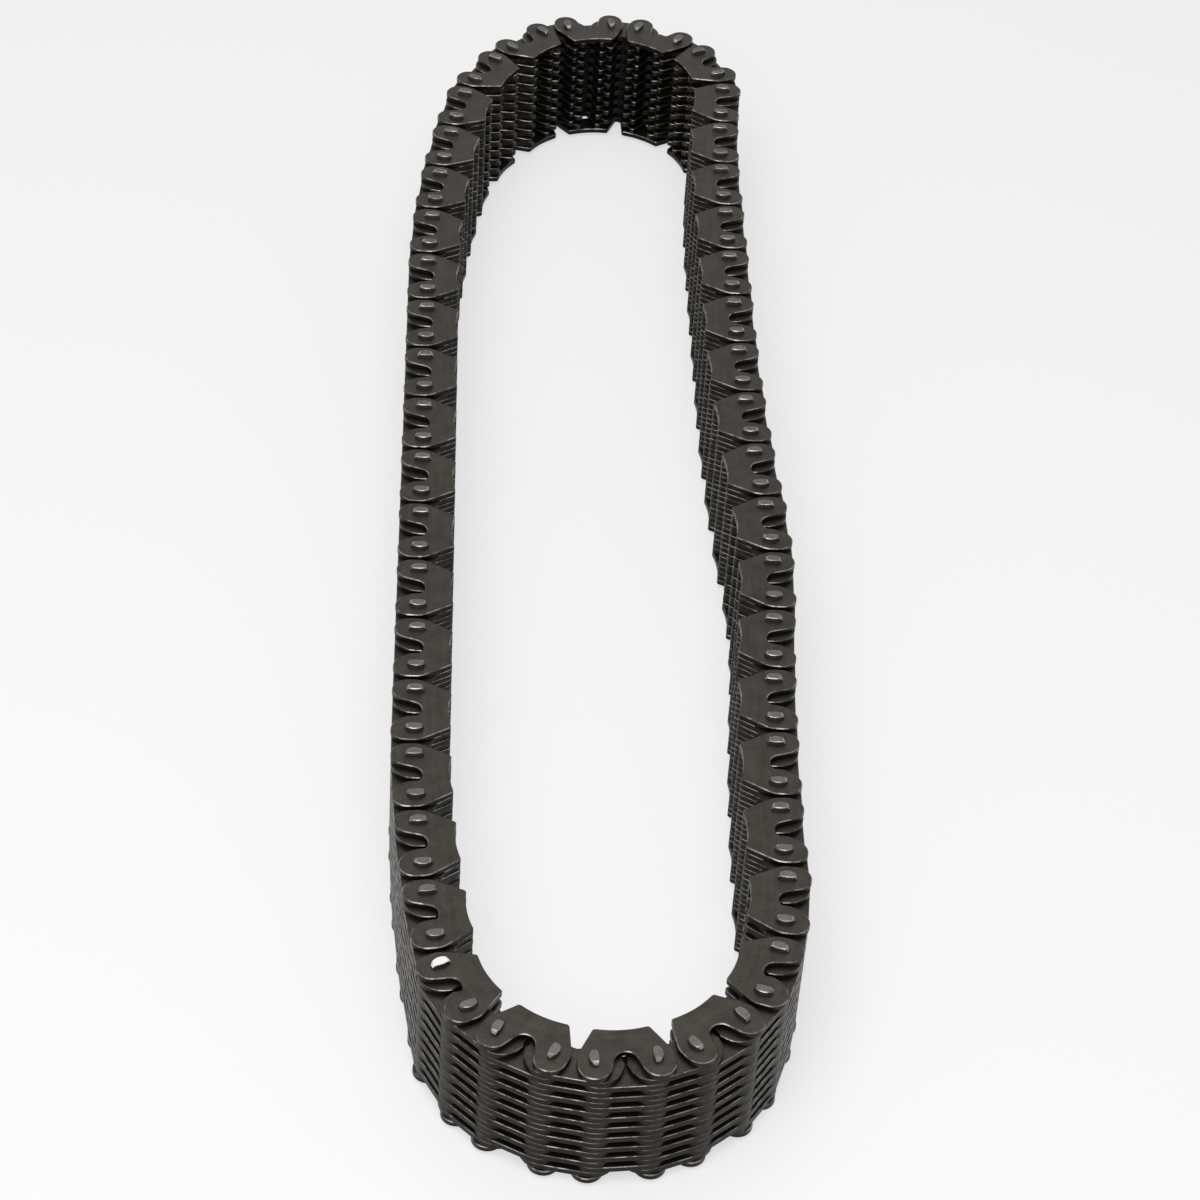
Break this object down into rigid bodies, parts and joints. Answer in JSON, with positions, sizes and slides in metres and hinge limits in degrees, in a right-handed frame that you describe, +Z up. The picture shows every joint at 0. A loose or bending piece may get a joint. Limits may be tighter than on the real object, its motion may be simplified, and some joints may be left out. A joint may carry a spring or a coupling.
{
  "type": "silent chain",
  "caption": "Endless inverted-tooth chain lying on its side: interleaved rows of toothed steel plates on rocker-pin joints, held on a sprocket by outer guide plates.",
  "frame": {"origin": "middle of the front bend, where the front sprocket's axis stands, on the surface that the lower pin ends rest on", "axes": "+Y towards the middle of the far bend along the loop, +Z up along the pins, +X to the right"},
  "size_m": [0.0881, 0.3734, 0.0313],
  "materials": {
    "black_steel": "black oxide, satin, with bright worn edges",
    "marked_pin": "steel pin with a white paint mark on its end"
  },
  "bodies": {
    "row_pair_01": {"row_pair_01": "black_steel", "closing_pin": "marked_pin"},
    "single_row_01": {"single_row_01": "black_steel"},
    "row_pair_02": {"row_pair_02": "black_steel"},
    "single_row_02": {"single_row_02": "black_steel"},
    "row_pair_03": {"row_pair_03": "black_steel"},
    "single_row_03": {"single_row_03": "black_steel"},
    "row_pair_04": {"row_pair_04": "black_steel"},
    "single_row_04": {"single_row_04": "black_steel"},
    "row_pair_05": {"row_pair_05": "black_steel"},
    "single_row_05": {"single_row_05": "black_steel"},
    "row_pair_06": {"row_pair_06": "black_steel"},
    "single_row_06": {"single_row_06": "black_steel"},
    "row_pair_07": {"row_pair_07": "black_steel"},
    "single_row_07": {"single_row_07": "black_steel"},
    "row_pair_08": {"row_pair_08": "black_steel"},
    "single_row_08": {"single_row_08": "black_steel"},
    "row_pair_09": {"row_pair_09": "black_steel"},
    "single_row_09": {"single_row_09": "black_steel"},
    "row_pair_10": {"row_pair_10": "black_steel"},
    "single_row_10": {"single_row_10": "black_steel"},
    "row_pair_11": {"row_pair_11": "black_steel"},
    "single_row_11": {"single_row_11": "black_steel"},
    "row_pair_12": {"row_pair_12": "black_steel"},
    "single_row_12": {"single_row_12": "black_steel"},
    "row_pair_13": {"row_pair_13": "black_steel"},
    "single_row_13": {"single_row_13": "black_steel"},
    "row_pair_14": {"row_pair_14": "black_steel"},
    "single_row_14": {"single_row_14": "black_steel"},
    "row_pair_15": {"row_pair_15": "black_steel"},
    "single_row_15": {"single_row_15": "black_steel"},
    "row_pair_16": {"row_pair_16": "black_steel"},
    "single_row_16": {"single_row_16": "black_steel"},
    "row_pair_17": {"row_pair_17": "black_steel"},
    "single_row_17": {"single_row_17": "black_steel"},
    "row_pair_18": {"row_pair_18": "black_steel"},
    "single_row_18": {"single_row_18": "black_steel"},
    "row_pair_19": {"row_pair_19": "black_steel"},
    "single_row_19": {"single_row_19": "black_steel"},
    "row_pair_20": {"row_pair_20": "black_steel"},
    "single_row_20": {"single_row_20": "black_steel"},
    "row_pair_21": {"row_pair_21": "black_steel"},
    "single_row_21": {"single_row_21": "black_steel"},
    "row_pair_22": {"row_pair_22": "black_steel"},
    "single_row_22": {"single_row_22": "black_steel"},
    "row_pair_23": {"row_pair_23": "black_steel"},
    "single_row_23": {"single_row_23": "black_steel"},
    "row_pair_24": {"row_pair_24": "black_steel"},
    "single_row_24": {"single_row_24": "black_steel"},
    "row_pair_25": {"row_pair_25": "black_steel"},
    "single_row_25": {"single_row_25": "black_steel"},
    "row_pair_26": {"row_pair_26": "black_steel"},
    "single_row_26": {"single_row_26": "black_steel"},
    "row_pair_27": {"row_pair_27": "black_steel"},
    "single_row_27": {"single_row_27": "black_steel"},
    "row_pair_28": {"row_pair_28": "black_steel"},
    "single_row_28": {"single_row_28": "black_steel", "closing_rocker": "black_steel"}
  },
  "joints": [
    {"name": "far_half_sway", "type": "hinge", "parent": "single_row_14", "child": "row_pair_14", "pos_m": [0.02981, 0.30035, 0.01567], "axis": [0, 0, 1], "range_deg": [-6, 6]},
    {"name": "pivot_39", "type": "hinge", "parent": "row_pair_14", "child": "single_row_13", "pos_m": [0.02875, 0.28133, 0.01567], "axis": [0, 0, 1], "range_deg": [-6, 6]},
    {"name": "pivot_38", "type": "hinge", "parent": "single_row_13", "child": "row_pair_13", "pos_m": [0.02857, 0.2718, 0.01567], "axis": [0, 0, 1], "range_deg": [-6, 6]},
    {"name": "pivot_36", "type": "hinge", "parent": "row_pair_13", "child": "single_row_12", "pos_m": [0.02887, 0.25276, 0.01567], "axis": [0, 0, 1], "range_deg": [-6, 6]},
    {"name": "pivot_35", "type": "hinge", "parent": "single_row_12", "child": "row_pair_12", "pos_m": [0.02914, 0.24324, 0.01567], "axis": [0, 0, 1], "range_deg": [-6, 6]},
    {"name": "pivot_33", "type": "hinge", "parent": "row_pair_12", "child": "single_row_11", "pos_m": [0.02967, 0.22419, 0.01567], "axis": [0, 0, 1], "range_deg": [-6, 6]},
    {"name": "pivot_32", "type": "hinge", "parent": "single_row_11", "child": "row_pair_11", "pos_m": [0.02994, 0.21467, 0.01567], "axis": [0, 0, 1], "range_deg": [-6, 6]},
    {"name": "pivot_30", "type": "hinge", "parent": "row_pair_11", "child": "single_row_10", "pos_m": [0.03047, 0.19563, 0.01567], "axis": [0, 0, 1], "range_deg": [-6, 6]},
    {"name": "pivot_29", "type": "hinge", "parent": "single_row_10", "child": "row_pair_10", "pos_m": [0.03084, 0.18611, 0.01567], "axis": [0, 0, 1], "range_deg": [-6, 6]},
    {"name": "pivot_27", "type": "hinge", "parent": "row_pair_10", "child": "single_row_09", "pos_m": [0.03186, 0.16709, 0.01567], "axis": [0, 0, 1], "range_deg": [-6, 6]},
    {"name": "front_half_sway", "type": "hinge", "parent": "single_row_09", "child": "row_pair_09", "pos_m": [0.03252, 0.15759, 0.01567], "axis": [0, 0, 1], "range_deg": [-6, 6]},
    {"name": "pivot_24", "type": "hinge", "parent": "row_pair_09", "child": "single_row_08", "pos_m": [0.03413, 0.1386, 0.01567], "axis": [0, 0, 1], "range_deg": [-6, 6]},
    {"name": "pivot_23", "type": "hinge", "parent": "single_row_08", "child": "row_pair_08", "pos_m": [0.03508, 0.12913, 0.01567], "axis": [0, 0, 1], "range_deg": [-6, 6]},
    {"name": "pivot_21", "type": "hinge", "parent": "row_pair_08", "child": "single_row_07", "pos_m": [0.03592, 0.1101, 0.01567], "axis": [0, 0, 1], "range_deg": [-6, 6]},
    {"name": "pivot_20", "type": "hinge", "parent": "single_row_07", "child": "row_pair_07", "pos_m": [0.03581, 0.10057, 0.01567], "axis": [0, 0, 1], "range_deg": [-6, 6]},
    {"name": "pivot_18", "type": "hinge", "parent": "row_pair_07", "child": "single_row_06", "pos_m": [0.03498, 0.08154, 0.01567], "axis": [0, 0, 1], "range_deg": [-6, 6]},
    {"name": "pivot_17", "type": "hinge", "parent": "single_row_06", "child": "row_pair_06", "pos_m": [0.03472, 0.07202, 0.01567], "axis": [0, 0, 1], "range_deg": [-6, 6]},
    {"name": "pivot_15", "type": "hinge", "parent": "row_pair_06", "child": "single_row_05", "pos_m": [0.03447, 0.05297, 0.01567], "axis": [0, 0, 1], "range_deg": [-6, 6]},
    {"name": "pivot_14", "type": "hinge", "parent": "single_row_05", "child": "row_pair_05", "pos_m": [0.0345, 0.04345, 0.01567], "axis": [0, 0, 1], "range_deg": [-6, 6]},
    {"name": "pivot_12", "type": "hinge", "parent": "row_pair_05", "child": "single_row_04", "pos_m": [0.03484, 0.0244, 0.01567], "axis": [0, 0, 1], "range_deg": [-6, 6]},
    {"name": "pivot_11", "type": "hinge", "parent": "single_row_04", "child": "row_pair_04", "pos_m": [0.03515, 0.01488, 0.01567], "axis": [0, 0, 1], "range_deg": [-6, 6]},
    {"name": "pivot_09", "type": "hinge", "parent": "row_pair_04", "child": "single_row_03", "pos_m": [0.03266, -0.00398, 0.01567], "axis": [0, 0, 1], "range_deg": [-6, 6]},
    {"name": "pivot_08", "type": "hinge", "parent": "single_row_03", "child": "row_pair_03", "pos_m": [0.02989, -0.01309, 0.01567], "axis": [0, 0, 1], "range_deg": [-5.68, 5.68]},
    {"name": "pivot_06", "type": "hinge", "parent": "row_pair_03", "child": "single_row_02", "pos_m": [0.01738, -0.0272, 0.01567], "axis": [0, 0, 1], "range_deg": [-5.68, 5.68]},
    {"name": "pivot_05", "type": "hinge", "parent": "single_row_02", "child": "row_pair_02", "pos_m": [0.00867, -0.03103, 0.01567], "axis": [0, 0, 1], "range_deg": [-2.37, 2.37]},
    {"name": "pivot_03", "type": "hinge", "parent": "row_pair_02", "child": "single_row_01", "pos_m": [-0.01018, -0.03061, 0.01567], "axis": [0, 0, 1], "range_deg": [-2.37, 2.37]},
    {"name": "pivot_02", "type": "hinge", "parent": "single_row_01", "child": "row_pair_01", "pos_m": [-0.01869, -0.02634, 0.01567], "axis": [0, 0, 1], "range_deg": [-5.57, 5.57]},
    {"name": "bends_roll", "type": "hinge", "parent": "single_row_14", "child": "row_pair_15", "pos_m": [0.02852, 0.30978, 0.01567], "axis": [0, 0, 1], "range_deg": [-6, 6]},
    {"name": "pivot_44", "type": "hinge", "parent": "row_pair_15", "child": "single_row_15", "pos_m": [0.01777, 0.32522, 0.01567], "axis": [0, 0, 1], "range_deg": [-6, 6]},
    {"name": "pivot_45", "type": "hinge", "parent": "single_row_15", "child": "row_pair_16", "pos_m": [0.00933, 0.32964, 0.01567], "axis": [0, 0, 1], "range_deg": [-2.35, 2.35]},
    {"name": "pivot_47", "type": "hinge", "parent": "row_pair_16", "child": "single_row_16", "pos_m": [-0.00946, 0.32955, 0.01567], "axis": [0, 0, 1], "range_deg": [-2.35, 2.35]},
    {"name": "pivot_48", "type": "hinge", "parent": "single_row_16", "child": "row_pair_17", "pos_m": [-0.01783, 0.32499, 0.01567], "axis": [0, 0, 1], "range_deg": [-6, 6]},
    {"name": "pivot_50", "type": "hinge", "parent": "row_pair_17", "child": "single_row_17", "pos_m": [-0.02957, 0.31005, 0.01567], "axis": [0, 0, 1], "range_deg": [-6, 6]},
    {"name": "pivot_51", "type": "hinge", "parent": "single_row_17", "child": "row_pair_18", "pos_m": [-0.03371, 0.30147, 0.01567], "axis": [0, 0, 1], "range_deg": [-6.04, 6.04]},
    {"name": "pivot_53", "type": "hinge", "parent": "row_pair_18", "child": "single_row_18", "pos_m": [-0.0381, 0.28299, 0.01567], "axis": [0, 0, 1], "range_deg": [-6.04, 6.04]},
    {"name": "pivot_54", "type": "hinge", "parent": "single_row_18", "child": "row_pair_19", "pos_m": [-0.0394, 0.27355, 0.01567], "axis": [0, 0, 1], "range_deg": [-6.04, 6.04]},
    {"name": "pivot_56", "type": "hinge", "parent": "row_pair_19", "child": "single_row_19", "pos_m": [-0.04135, 0.2546, 0.01567], "axis": [0, 0, 1], "range_deg": [-6.04, 6.04]},
    {"name": "pivot_57", "type": "hinge", "parent": "single_row_19", "child": "row_pair_20", "pos_m": [-0.04199, 0.2451, 0.01567], "axis": [0, 0, 1], "range_deg": [-6.04, 6.04]},
    {"name": "pivot_59", "type": "hinge", "parent": "row_pair_20", "child": "single_row_20", "pos_m": [-0.04261, 0.22606, 0.01567], "axis": [0, 0, 1], "range_deg": [-6.04, 6.04]},
    {"name": "pivot_60", "type": "hinge", "parent": "single_row_20", "child": "row_pair_21", "pos_m": [-0.04258, 0.21653, 0.01567], "axis": [0, 0, 1], "range_deg": [-6.04, 6.04]},
    {"name": "pivot_62", "type": "hinge", "parent": "row_pair_21", "child": "single_row_21", "pos_m": [-0.04209, 0.19749, 0.01567], "axis": [0, 0, 1], "range_deg": [-6.04, 6.04]},
    {"name": "pivot_63", "type": "hinge", "parent": "single_row_21", "child": "row_pair_22", "pos_m": [-0.04184, 0.18797, 0.01567], "axis": [0, 0, 1], "range_deg": [-6.04, 6.04]},
    {"name": "pivot_65", "type": "hinge", "parent": "row_pair_22", "child": "single_row_22", "pos_m": [-0.04135, 0.16893, 0.01567], "axis": [0, 0, 1], "range_deg": [-6.04, 6.04]},
    {"name": "pivot_66", "type": "hinge", "parent": "single_row_22", "child": "row_pair_23", "pos_m": [-0.04111, 0.1594, 0.01567], "axis": [0, 0, 1], "range_deg": [-6.01, 6.01]},
    {"name": "pivot_68", "type": "hinge", "parent": "row_pair_23", "child": "single_row_23", "pos_m": [-0.04062, 0.14036, 0.01567], "axis": [0, 0, 1], "range_deg": [-6.01, 6.01]},
    {"name": "pivot_69", "type": "hinge", "parent": "single_row_23", "child": "row_pair_24", "pos_m": [-0.04038, 0.13084, 0.01567], "axis": [0, 0, 1], "range_deg": [-6.01, 6.01]},
    {"name": "pivot_71", "type": "hinge", "parent": "row_pair_24", "child": "single_row_24", "pos_m": [-0.0399, 0.1118, 0.01567], "axis": [0, 0, 1], "range_deg": [-6.01, 6.01]},
    {"name": "pivot_72", "type": "hinge", "parent": "single_row_24", "child": "row_pair_25", "pos_m": [-0.03966, 0.10227, 0.01567], "axis": [0, 0, 1], "range_deg": [-6.01, 6.01]},
    {"name": "pivot_74", "type": "hinge", "parent": "row_pair_25", "child": "single_row_25", "pos_m": [-0.03919, 0.08323, 0.01567], "axis": [0, 0, 1], "range_deg": [-6.01, 6.01]},
    {"name": "pivot_75", "type": "hinge", "parent": "single_row_25", "child": "row_pair_26", "pos_m": [-0.03895, 0.07371, 0.01567], "axis": [0, 0, 1], "range_deg": [-6.01, 6.01]},
    {"name": "pivot_77", "type": "hinge", "parent": "row_pair_26", "child": "single_row_26", "pos_m": [-0.03848, 0.05466, 0.01567], "axis": [0, 0, 1], "range_deg": [-6.01, 6.01]},
    {"name": "pivot_78", "type": "hinge", "parent": "single_row_26", "child": "row_pair_27", "pos_m": [-0.03801, 0.04515, 0.01567], "axis": [0, 0, 1], "range_deg": [-6.01, 6.01]},
    {"name": "pivot_80", "type": "hinge", "parent": "row_pair_27", "child": "single_row_27", "pos_m": [-0.03634, 0.02617, 0.01567], "axis": [0, 0, 1], "range_deg": [-6.01, 6.01]},
    {"name": "pivot_81", "type": "hinge", "parent": "single_row_27", "child": "row_pair_28", "pos_m": [-0.03515, 0.01672, 0.01567], "axis": [0, 0, 1], "range_deg": [-6.01, 6.01]},
    {"name": "pivot_83", "type": "hinge", "parent": "row_pair_28", "child": "single_row_28", "pos_m": [-0.03207, -0.00207, 0.01567], "axis": [0, 0, 1], "range_deg": [-6.01, 6.01]}
  ],
  "couplings": [
    {"joint": "pivot_39", "follows": "far_half_sway", "ratio": -1},
    {"joint": "pivot_38", "follows": "far_half_sway", "ratio": 1},
    {"joint": "pivot_36", "follows": "far_half_sway", "ratio": -1},
    {"joint": "pivot_35", "follows": "far_half_sway", "ratio": 1},
    {"joint": "pivot_33", "follows": "far_half_sway", "ratio": -1},
    {"joint": "pivot_32", "follows": "far_half_sway", "ratio": 1},
    {"joint": "pivot_30", "follows": "far_half_sway", "ratio": -1},
    {"joint": "pivot_29", "follows": "far_half_sway", "ratio": 1},
    {"joint": "pivot_27", "follows": "far_half_sway", "ratio": -1},
    {"joint": "pivot_24", "follows": "front_half_sway", "ratio": -1},
    {"joint": "pivot_23", "follows": "front_half_sway", "ratio": 1},
    {"joint": "pivot_21", "follows": "front_half_sway", "ratio": -1},
    {"joint": "pivot_20", "follows": "front_half_sway", "ratio": 1},
    {"joint": "pivot_18", "follows": "front_half_sway", "ratio": -1},
    {"joint": "pivot_17", "follows": "front_half_sway", "ratio": 1},
    {"joint": "pivot_15", "follows": "front_half_sway", "ratio": -1},
    {"joint": "pivot_14", "follows": "front_half_sway", "ratio": 1},
    {"joint": "pivot_12", "follows": "front_half_sway", "ratio": -1},
    {"joint": "pivot_11", "follows": "front_half_sway", "ratio": 1},
    {"joint": "pivot_09", "follows": "front_half_sway", "ratio": -1},
    {"joint": "pivot_08", "follows": "bends_roll", "ratio": 0.94675},
    {"joint": "pivot_06", "follows": "bends_roll", "ratio": -0.94675},
    {"joint": "pivot_05", "follows": "front_half_sway", "ratio": -0.39524},
    {"joint": "pivot_03", "follows": "front_half_sway", "ratio": 0.39524},
    {"joint": "pivot_02", "follows": "bends_roll", "ratio": 0.92834},
    {"joint": "pivot_44", "follows": "bends_roll", "ratio": -1},
    {"joint": "pivot_45", "follows": "far_half_sway", "ratio": -0.39127},
    {"joint": "pivot_47", "follows": "far_half_sway", "ratio": 0.39127},
    {"joint": "pivot_48", "follows": "bends_roll", "ratio": 1},
    {"joint": "pivot_50", "follows": "bends_roll", "ratio": -1},
    {"joint": "pivot_51", "follows": "far_half_sway", "ratio": 1.0068},
    {"joint": "pivot_53", "follows": "far_half_sway", "ratio": -1.0068},
    {"joint": "pivot_54", "follows": "far_half_sway", "ratio": 1.0068},
    {"joint": "pivot_56", "follows": "far_half_sway", "ratio": -1.0068},
    {"joint": "pivot_57", "follows": "far_half_sway", "ratio": 1.0068},
    {"joint": "pivot_59", "follows": "far_half_sway", "ratio": -1.0068},
    {"joint": "pivot_60", "follows": "far_half_sway", "ratio": 1.0068},
    {"joint": "pivot_62", "follows": "far_half_sway", "ratio": -1.0068},
    {"joint": "pivot_63", "follows": "far_half_sway", "ratio": 1.0068},
    {"joint": "pivot_65", "follows": "far_half_sway", "ratio": -1.0068},
    {"joint": "pivot_66", "follows": "front_half_sway", "ratio": 1.0019},
    {"joint": "pivot_68", "follows": "front_half_sway", "ratio": -1.0019},
    {"joint": "pivot_69", "follows": "front_half_sway", "ratio": 1.0019},
    {"joint": "pivot_71", "follows": "front_half_sway", "ratio": -1.0019},
    {"joint": "pivot_72", "follows": "front_half_sway", "ratio": 1.0019},
    {"joint": "pivot_74", "follows": "front_half_sway", "ratio": -1.0019},
    {"joint": "pivot_75", "follows": "front_half_sway", "ratio": 1.0019},
    {"joint": "pivot_77", "follows": "front_half_sway", "ratio": -1.0019},
    {"joint": "pivot_78", "follows": "front_half_sway", "ratio": 1.0019},
    {"joint": "pivot_80", "follows": "front_half_sway", "ratio": -1.0019},
    {"joint": "pivot_81", "follows": "front_half_sway", "ratio": 1.0019},
    {"joint": "pivot_83", "follows": "front_half_sway", "ratio": -1.0019}
  ]
}
